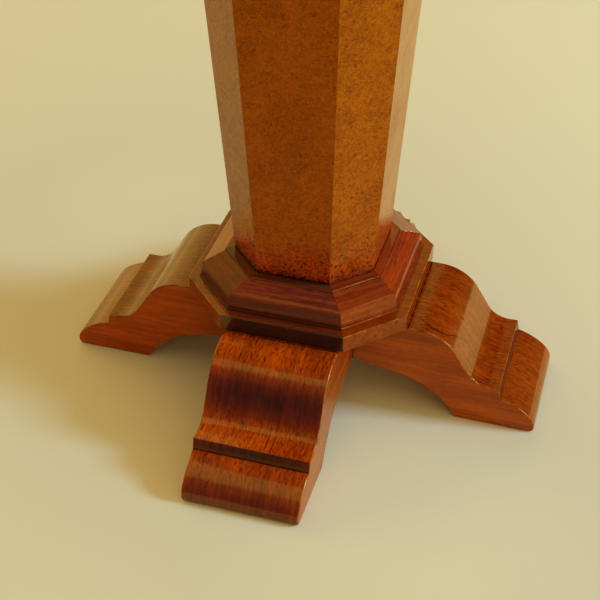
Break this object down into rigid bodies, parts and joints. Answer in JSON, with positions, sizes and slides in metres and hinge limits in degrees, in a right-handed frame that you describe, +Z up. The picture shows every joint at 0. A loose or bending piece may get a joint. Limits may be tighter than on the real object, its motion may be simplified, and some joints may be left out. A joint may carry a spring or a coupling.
{
  "type": "occasional table",
  "caption": "Occasional table with a canted top on a flared burr-veneered pillar, standing on a moulded plinth and spreading ogee feet.",
  "frame": {"origin": "on the floor under the middle of the pillar", "axes": "+Z up along the pillar, -Y towards the front foot, +X towards the right foot"},
  "size_m": [0.56, 0.56, 0.65],
  "materials": {
    "polished_mahogany": "french polish, glossy, red-brown",
    "burr_veneer": "french polish, glossy, orange-brown with dark eyes",
    "ground_timber": "bare, sawn and planed",
    "screw_steel": "dull"
  },
  "bodies": {
    "root": {"base_moulding_back": "polished_mahogany", "base_moulding_back_left": "polished_mahogany", "base_moulding_back_right": "polished_mahogany", "base_moulding_front": "polished_mahogany", "base_moulding_front_left": "polished_mahogany", "base_moulding_front_right": "polished_mahogany", "base_moulding_left": "polished_mahogany", "base_moulding_right": "polished_mahogany", "cap_board": "polished_mahogany", "column_foot_block": "ground_timber", "column_head_block": "ground_timber", "column_leaf_back": "burr_veneer", "column_leaf_back_left": "burr_veneer", "column_leaf_back_right": "burr_veneer", "column_leaf_front": "burr_veneer", "column_leaf_front_left": "burr_veneer", "column_leaf_front_right": "burr_veneer", "column_leaf_left": "burr_veneer", "column_leaf_right": "burr_veneer", "column_stave_back": "ground_timber", "column_stave_back_left": "ground_timber", "column_stave_back_right": "ground_timber", "column_stave_front": "ground_timber", "column_stave_front_left": "ground_timber", "column_stave_front_right": "ground_timber", "column_stave_left": "ground_timber", "column_stave_right": "ground_timber", "foot_back": "polished_mahogany", "foot_front": "polished_mahogany", "foot_left": "polished_mahogany", "foot_right": "polished_mahogany", "foot_screw_back": "screw_steel", "foot_screw_front": "screw_steel", "foot_screw_left": "screw_steel", "foot_screw_right": "screw_steel", "head_screw_back": "screw_steel", "head_screw_front": "screw_steel", "head_screw_left": "screw_steel", "head_screw_right": "screw_steel", "hub_block": "ground_timber", "plinth_board": "polished_mahogany", "spigot_wedge": "ground_timber", "top_core": "ground_timber", "top_crossbanding": "polished_mahogany", "top_leaf_back_left": "burr_veneer", "top_leaf_back_right": "burr_veneer", "top_leaf_front_left": "burr_veneer", "top_leaf_front_right": "burr_veneer", "top_lipping_back": "polished_mahogany", "top_lipping_back_left": "polished_mahogany", "top_lipping_back_right": "polished_mahogany", "top_lipping_front": "polished_mahogany", "top_lipping_front_left": "polished_mahogany", "top_lipping_front_right": "polished_mahogany", "top_lipping_left": "polished_mahogany", "top_lipping_right": "polished_mahogany", "top_screw_back": "screw_steel", "top_screw_front": "screw_steel", "top_screw_left": "screw_steel", "top_screw_right": "screw_steel"}
  },
  "joints": []
}
